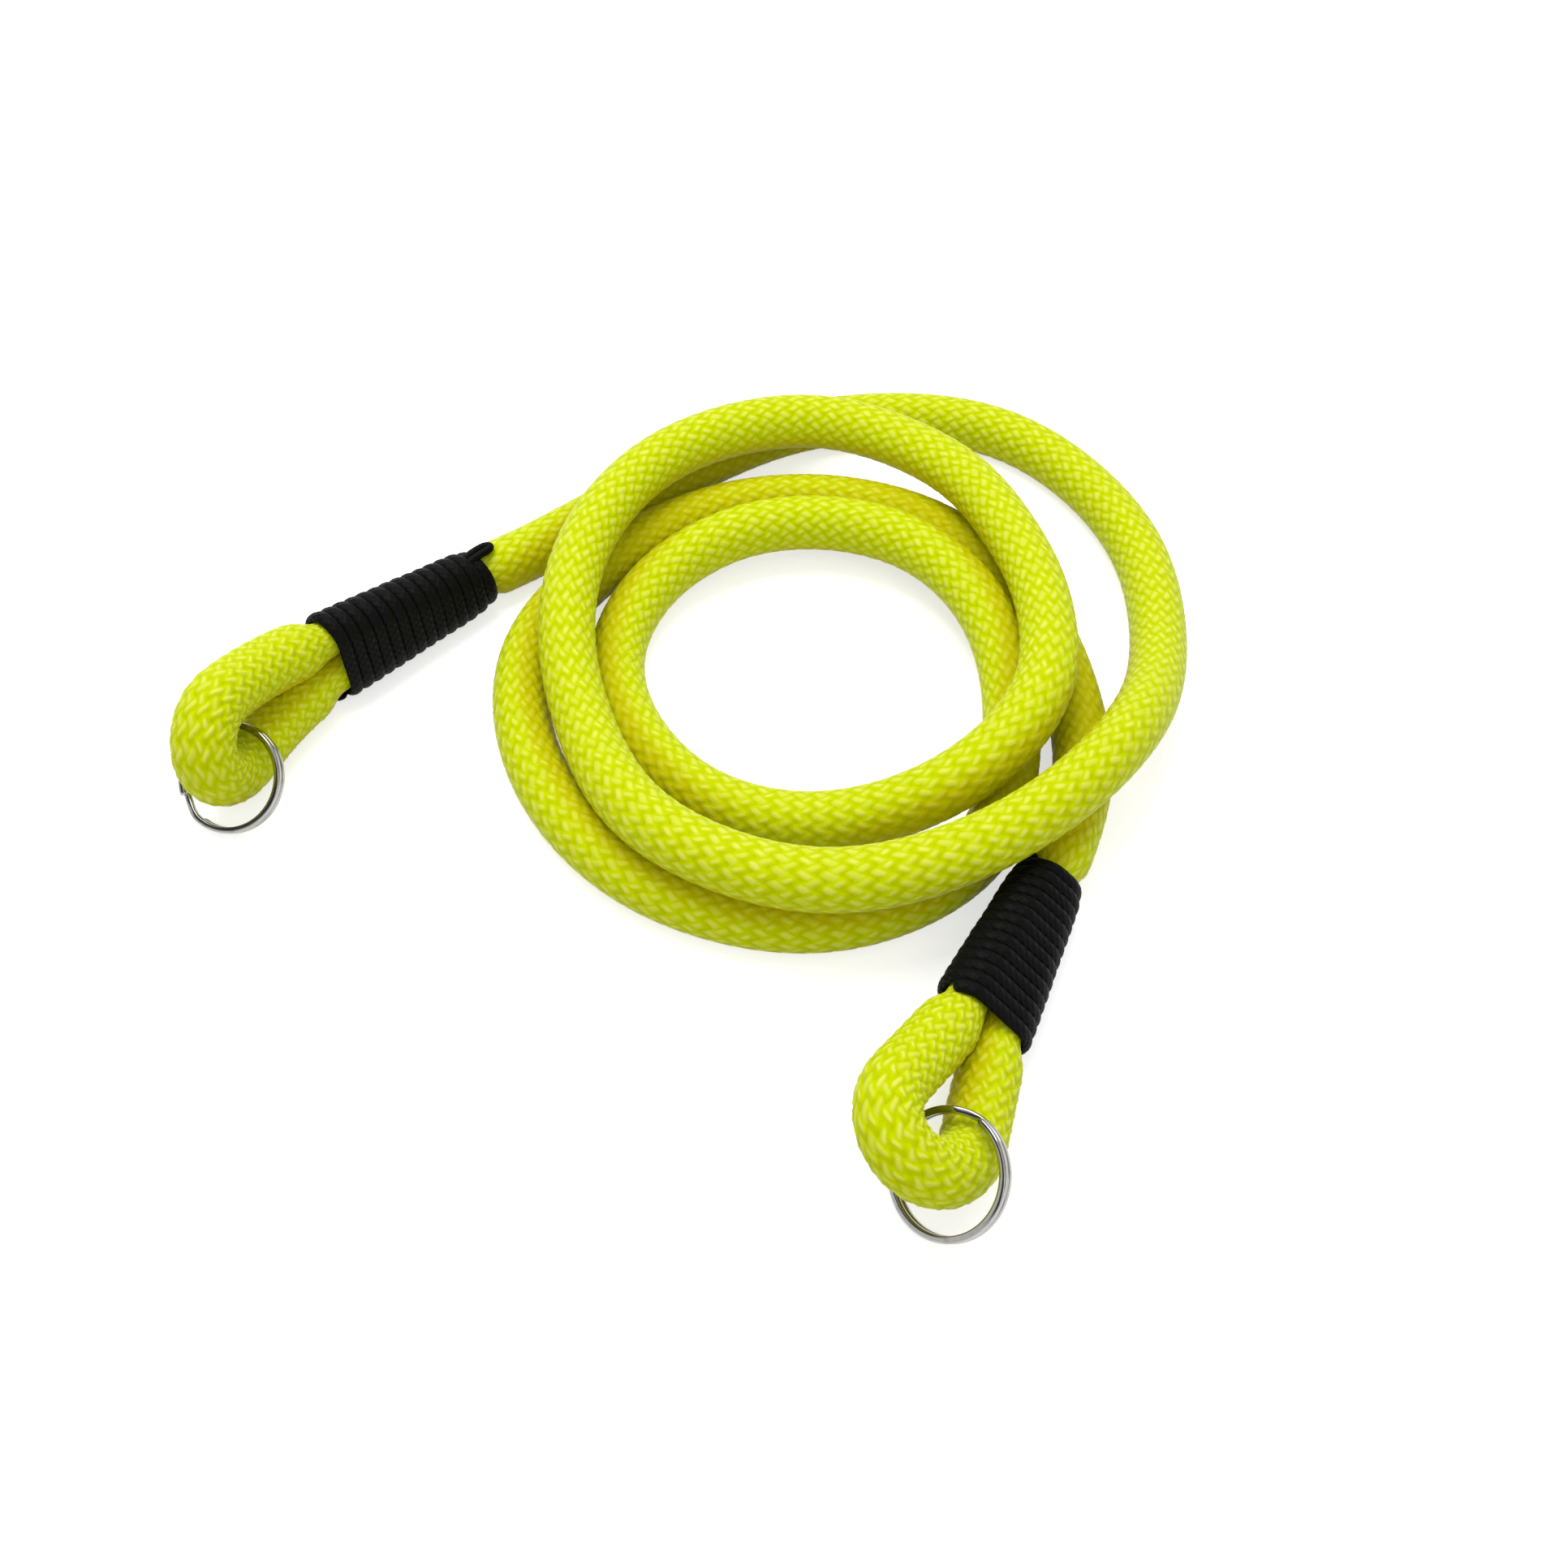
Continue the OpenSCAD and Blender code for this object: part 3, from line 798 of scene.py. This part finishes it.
class STRAP_OT_eyes(bpy.types.Operator):
    """Fold each end of the rope back into its eye."""
    bl_idname = "strap.eyes"
    bl_label = "Eyes"

    def execute(self, context):
        rope = context.scene.strap_rope
        for side, end in ENDS.items():
            line, flat = eye_route(end)
            dist = along(line)
            bound = end["bound"]
            across, deep = end_frame(end)[2:]
            tail = dist > dist[-1] / 2

            def radius(s):
                """Under the binding the bound radius, thinning in the tail; outside it
                swells to the loosened rope's."""
                a = np.interp(s, dist, flat[:, 0])
                held = np.where(np.interp(s, dist, tail.astype(float)) > 0.5,
                                tail_radius(a, bound), BOUND_R) - PINCH
                return held + (end["eye_r"] - held) * ease((a - bound + 1.2) / 6.5) ** 0.75

            def relief(s):
                """Flatter under the binding, fuller where the rope is loosened."""
                a = np.interp(s, dist, flat[:, 0])
                return rope.relief / MM * (0.3 + 0.85 * ease((a - bound) / 4))

            def mend(points, middle, where):
                """Press the two legs flat against each other near the binding, then press
                the whole on the floor."""
                a = np.interp(where, dist, flat[:, 0])[..., None]
                q = np.interp(where, dist, flat[:, 1])[..., None]
                leg = np.sign(q)
                room = 0.03 - leg * (q + dot(points - middle, across))
                hold = 1 - ease((a - bound - 9) / 6)
                points = points + across * leg * np.maximum(room, 0) * hold
                return settled(points)

            def stitch(s):
                """Stitches bunch up where the rope is folded, most of all round the bend."""
                bend = ease((np.interp(s, dist, flat[:, 0]) - bound - 4) / 9)
                return rope.stitch / MM * (0.86 - 0.16 * bend)

            # Each point also gets the amount of painted shade for the rope's colour.
            piece = braided_tube(
                f"{side}_eye", line, deep, rope.yarns, stitch, 4, radius, relief,
                mend=mend, shade=painted_hollow_shade(line), hand=end["hand"])
            placed(piece, "rope", [f"{side}_eye_sheath", f"{side}_eye_core"], "sheath")
        return {"FINISHED"}


CORD_YARNS, CORD_STITCH = 5, 1.5    # the cord's own braid: yarns each way, and a stitch


def binding_route(end, turns, thick):
    """A binding's cord in millimetres, from the wide end to the narrow one: turn by turn a
    half circle about each leg joined by straights, which shorten as the tail thins out."""
    forward, _, across, deep = end_frame(end)
    pitch = end["bound"] / (turns + 0.35)
    k = np.linspace(0, turns, turns * 96 + 1)
    s = end["bound"] - pitch * 0.55 - k * pitch * (turns - 0.75) / turns
    angle = np.radians(end["cord_from"] - 360 * k)
    out = BOUND_R + thick / 2 - 0.05
    give = tail_radius(s, end["bound"]) * ease(s / TAIL_START)
    lean = np.tanh(np.cos(angle) * 14)
    line = np.array(end["start"], float) + s[:, None] * forward \
        + (out * np.sin(angle))[:, None] * deep \
        + (out * np.cos(angle) + give * lean)[:, None] * across
    dist = along(line)
    even = at(line, dist, np.arange(0, dist[-1], 0.25))
    return even, forward, pitch


class STRAP_OT_bindings(bpy.types.Operator):
    """Wind the waxed cord round each folded end."""
    bl_idname = "strap.bindings"
    bl_label = "Bindings"

    def execute(self, context):
        cord = context.scene.strap_cord
        thick = cord.thickness / MM
        for side, end in ENDS.items():
            line, forward, pitch = binding_route(end, cord.turns, thick)
            whole = along(line)[-1]
            wide = pitch * 1.03

            def radius(s):
                """Half the cord's thickness, closing to a round tip over its last stretch."""
                tip = np.clip(np.minimum(s, whole - s) / (wide * 0.5), 0, 1)
                return thick / 2 * np.sqrt(np.clip(1 - (1 - tip) ** 2, 0.01, 1)) \
                    * (1 + 0.035 * np.sin(s / 3.3) + 0.03 * np.sin(s / 1.9 + 2))

            def relief(s):
                """The same all along."""
                return np.full(np.shape(s), cord.relief / MM)

            piece = braided_tube(
                f"{side}_binding_cord", line, np.cross(np.gradient(line, axis=0), forward),
                CORD_YARNS, CORD_STITCH, 3, radius, relief, oval=(wide / thick, 1.0),
                mend=lambda points, middle, where: settled(points))
            placed(piece, "rope", [f"{side}_binding"], "waxed_cord")
        piece = tucked_bight(ENDS["left"], thick)
        placed(piece, "rope", [], "waxed_cord")
        return {"FINISHED"}


def tucked_bight(end, thick):
    """The last of the left cord: it comes out from under the narrow turns and doubles back
    in a flat loop that lies along the rope."""
    forward, _, across, deep = end_frame(end)
    angle = math.radians(350)
    out = math.sin(angle) * deep + math.cos(angle) * across
    level = unit(np.cross(forward, out))
    start = np.array(end["start"], float)
    foot = [(4.5, -0.7, 5.0), (2.6, -0.8, 5.7), (0.4, -0.85, 6.0), (-1.4, -0.7, 6.0),
            (-2.3, 0.05, 5.95), (-1.4, 0.8, 5.9), (0.4, 0.85, 5.9), (2.6, 0.8, 5.6),
            (4.5, 0.7, 4.9)]
    line = np.array([start + s * forward + q * level + h * out for s, q, h in foot])
    line = spline(np.vstack([2 * line[0] - line[1], line, 2 * line[-1] - line[-2]]), 12)
    return braided_tube(
        "left_binding_tuck", line, np.broadcast_to(out, line.shape), CORD_YARNS,
        CORD_STITCH, 3, lambda s: np.full(np.shape(s), thick * 0.47),
        lambda s: np.full(np.shape(s), 0.12), oval=(1.0, 1.05))


class STRAP_OT_rings(bpy.types.Operator):
    """Wind each split ring from two turns of wire."""
    bl_idname = "strap.rings"
    bl_label = "Split rings"

    def execute(self, context):
        points, faces, tips = ring_wire(context.scene.strap_rings)
        for side, end in ENDS.items():
            laid = turned(points, end)
            turn_over = not outward(laid, faces)
            groups = [part[:, ::-1] if turn_over else part for part in (faces, *tips)]
            piece = new_mesh(f"{side}_ring_wire", laid, groups)
            placed(piece, f"{side}_ring", [f"{side}_split_ring"], "spring_wire")
        return {"FINISHED"}


def ring_wire(rings):
    """Two turns of wire lying level: a point's turn goes round the ring and its face round
    the wire. The height is a smooth step from the lower turn to the upper one halfway. The
    section is a circle pushed out towards a square, by a power of its coordinates, and
    drawn in to a quarter circle at each tip. Gives the points, the skin's faces and the
    fans that close the tips."""
    step_half, end_stop = 14.0, 17.0    # degrees: half the step, and from it to a tip
    stations, sides, squareness, layer_gap = 361, 20, 0.62, 0.06
    wide, high = rings.wire_width / MM, rings.wire_height / MM
    mid = (rings.outside / MM - rings.wire_width / MM) / 2
    turn = np.linspace(end_stop, 720 - end_stop, stations)
    level = (high + layer_gap) * (ease((turn - 360 + step_half) / (2 * step_half)) - 0.5)
    face = 2 * np.pi * (np.arange(sides) + 0.5) / sides

    def box(x):
        """A circle's coordinate pushed out towards a square with round corners."""
        return np.sign(x) * np.abs(x) ** squareness

    from_end = np.minimum(turn - turn[0], turn[-1] - turn)
    tip = 0.72 + 0.28 * np.sqrt(1 - (1 - np.clip(from_end / 3.0, 0, 1)) ** 2)
    r = mid + wide / 2 * tip[:, None] * box(np.cos(face))[None]
    z = level[:, None] + high / 2 * tip[:, None] * box(np.sin(face))[None]
    a = np.radians(turn)[:, None]
    local = np.stack([r * np.cos(a), r * np.sin(a), z], -1)
    i, j = np.meshgrid(np.arange(stations - 1), np.arange(sides), indexing="ij")
    k = (j + 1) % sides
    faces = np.stack([i * sides + j, (i + 1) * sides + j, (i + 1) * sides + k,
                      i * sides + k], -1).reshape(-1, 4)
    count = stations * sides
    ring = np.arange(sides)
    last = (stations - 1) * sides
    first_fan = np.stack([np.full(sides, count), ring, np.roll(ring, -1)], 1)
    last_fan = np.stack([np.full(sides, count + 1), last + np.roll(ring, -1), last + ring], 1)
    points = np.vstack([local.reshape(-1, 3), local[0].mean(0), local[-1].mean(0)])
    return points, faces, (first_fan, last_fan)


def turned(points, end):
    """A ring's own points laid down: turned about its axis, tipped away from upright,
    swung to face its compass direction and moved to its middle."""
    heading, up = np.radians(end["faces"])
    spin = math.radians(end["turned"])

    def about_z(a):
        """The turn about Z by an angle."""
        return np.array([[math.cos(a), -math.sin(a), 0], [math.sin(a), math.cos(a), 0],
                         [0, 0, 1]])

    tip = math.pi / 2 - up
    about_y = np.array([[math.cos(tip), 0, math.sin(tip)], [0, 1, 0],
                        [-math.sin(tip), 0, math.cos(tip)]])
    place = about_z(heading) @ about_y @ about_z(spin)
    return points @ place.T + np.array(end["ring"], float)


class STRAP_OT_stage(bpy.types.Operator):
    """Set the floor, the soft studio light and the camera."""
    bl_idname = "strap.stage"
    bl_label = "Stage"

    def execute(self, context):
        scene = context.scene
        stage = scene.strap_stage
        scene.view_settings.view_transform = "Standard"
        add_camera(scene)
        add_floor()
        add_world(scene, stage.fill)
        add_lamp("key", (-0.10, 0.28, 0.75), 0.55, stage.key)
        add_lamp("front", (0.25, -0.60, 0.70), 0.45, stage.key * FRONT_SHARE)
        return {"FINISHED"}


CAMERA_AT = np.array([-6.95, -210.56, 225.88])      # millimetres from the coil's middle
CAMERA_DOWN = 51        # degrees
CAMERA_LENS, CAMERA_SENSOR = 36.335, 36.0
FRONT_SHARE = 0.22      # the front lamp's power, as a share of the key's
FLOOR_HALF = 6.0
FLOOR_LIT = (0.66, 0.63, 0.54, 1)   # the floor's colour to the light that it sends back
FLOOR_SEEN = (0.80, 0.80, 0.80, 1)  # and as it is seen, under a glow that makes it white
FLOOR_GLOW = 0.64


def add_camera(scene):
    """Camera that looks down along +Y."""
    data = bpy.data.cameras.new("camera")
    data.lens = CAMERA_LENS
    data.sensor_width = CAMERA_SENSOR
    data.clip_start, data.clip_end = 0.01, 20
    camera = bpy.data.objects.new("camera", data)
    camera.location = scaled(CAMERA_AT)
    camera.rotation_euler = (math.radians(90 - CAMERA_DOWN), 0, 0)
    scene.collection.objects.link(camera)
    scene.camera = camera


def rays(net):
    """Whether a ray comes from the camera, and whether from a mirror or glass."""
    light = net.add("ShaderNodeLightPath").outputs
    return light["Is Camera Ray"], net.math("MAXIMUM", light["Is Glossy Ray"],
                                            light["Is Transmission Ray"])


def add_floor():
    """A wide flat floor. The camera and mirror-like surfaces see it white under the
    object's shadow; to the lamps' light it is a warm grey, as a table is."""
    points = FLOOR_HALF * np.array([[-1, -1, 0], [1, -1, 0], [1, 1, 0], [-1, 1, 0]])
    floor = new_mesh("floor", points, [np.array([[0, 1, 2, 3]])])
    material, net, shader = new_material("floor")
    seen = net.math("MAXIMUM", *rays(net))
    colour = net.mix(seen, FLOOR_LIT, FLOOR_SEEN)
    diffuse = net.add("ShaderNodeBsdfDiffuse", Color=colour).outputs[0]
    glow = net.add("ShaderNodeEmission", Color=(1, 1, 1, 1),
                   Strength=net.math("MULTIPLY", seen, FLOOR_GLOW)).outputs[0]
    both = net.add("ShaderNodeAddShader", i0=diffuse, i1=glow).outputs[0]
    out = next(n for n in net.tree.nodes if n.type == "OUTPUT_MATERIAL")
    net.feed(both, out.inputs["Surface"])
    net.tree.nodes.remove(shader)
    floor.data.materials.append(material)


def add_world(scene, fill):
    """Soft light from all round. The camera sees it white, and mirror-like surfaces see
    that white background too, under a dim ceiling with a pale middle."""
    world = bpy.data.worlds.new("studio")
    world.use_nodes = True
    net = Net(world.node_tree)
    back = next(n for n in net.tree.nodes if n.type == "BACKGROUND")
    camera, mirror = rays(net)
    way = net.add("ShaderNodeTexCoord").outputs["Generated"]
    height = net.add("ShaderNodeSeparateXYZ", Vector=way).outputs[2]
    dim = net.math("MULTIPLY", net.ramp(height, 0.42, 0.60), 0.93)
    pale = net.math("MULTIPLY", net.ramp(height, 0.75, 0.95), 0.85)
    room = net.math("ADD", net.less(dim), pale)
    seen = net.math("MAXIMUM", camera, net.math("MULTIPLY", mirror, room))
    lights = net.less(net.math("MAXIMUM", camera, mirror))
    net.feed(net.math("ADD", seen, net.math("MULTIPLY", lights, fill)),
             back.inputs["Strength"])
    back.inputs["Color"].default_value = (1, 1, 1, 1)
    scene.world = world


def add_lamp(name, place, size, power):
    """A square soft lamp aimed at the strap's middle."""
    data = bpy.data.lights.new(name, "AREA")
    data.shape = "SQUARE"
    data.size = size
    data.energy = power
    lamp = bpy.data.objects.new(name, data)
    lamp.location = place
    way = -np.array(place)
    pitch = math.atan2(math.hypot(way[0], way[1]), -way[2])
    lamp.rotation_euler = (pitch, 0, math.atan2(-way[0], way[1]))
    bpy.context.scene.collection.objects.link(lamp)


class STRAP_PT_panel(bpy.types.Panel):
    """The strap's pieces and sizes."""
    bl_idname = "STRAP_PT_panel"
    bl_label = "Bound rope strap"
    bl_space_type = "VIEW_3D"
    bl_region_type = "UI"
    bl_category = "Strap"

    def draw(self, context):
        for store in ("strap_rope", "strap_cord", "strap_rings", "strap_stage"):
            settings = getattr(context.scene, store)
            box = self.layout.box()
            for key in settings.bl_rna.properties.keys():
                if key not in ("rna_type", "name"):
                    box.prop(settings, key)
        for operator in OPERATORS:
            self.layout.operator(operator.bl_idname)


STORES = {"strap_rope": StrapRope, "strap_cord": StrapCord, "strap_rings": StrapRings,
          "strap_stage": StrapStage}
OPERATORS = (STRAP_OT_stage, STRAP_OT_coil, STRAP_OT_eyes, STRAP_OT_bindings, STRAP_OT_rings)


def register():
    """Make the classes known and give the scene their settings."""
    for cls in (*STORES.values(), *OPERATORS, STRAP_PT_panel):
        bpy.utils.register_class(cls)
    for name, cls in STORES.items():
        setattr(bpy.types.Scene, name, bpy.props.PointerProperty(type=cls))


def unregister():
    """Take the settings and the classes away again."""
    for name in STORES:
        delattr(bpy.types.Scene, name)
    for cls in (STRAP_PT_panel, *reversed(OPERATORS), *reversed(STORES.values())):
        bpy.utils.unregister_class(cls)


def main():
    """Make the stage and every piece."""
    register()
    bpy.ops.strap.stage()
    bpy.ops.strap.coil()
    bpy.ops.strap.eyes()
    bpy.ops.strap.bindings()
    bpy.ops.strap.rings()


if __name__ == "__main__":
    main()
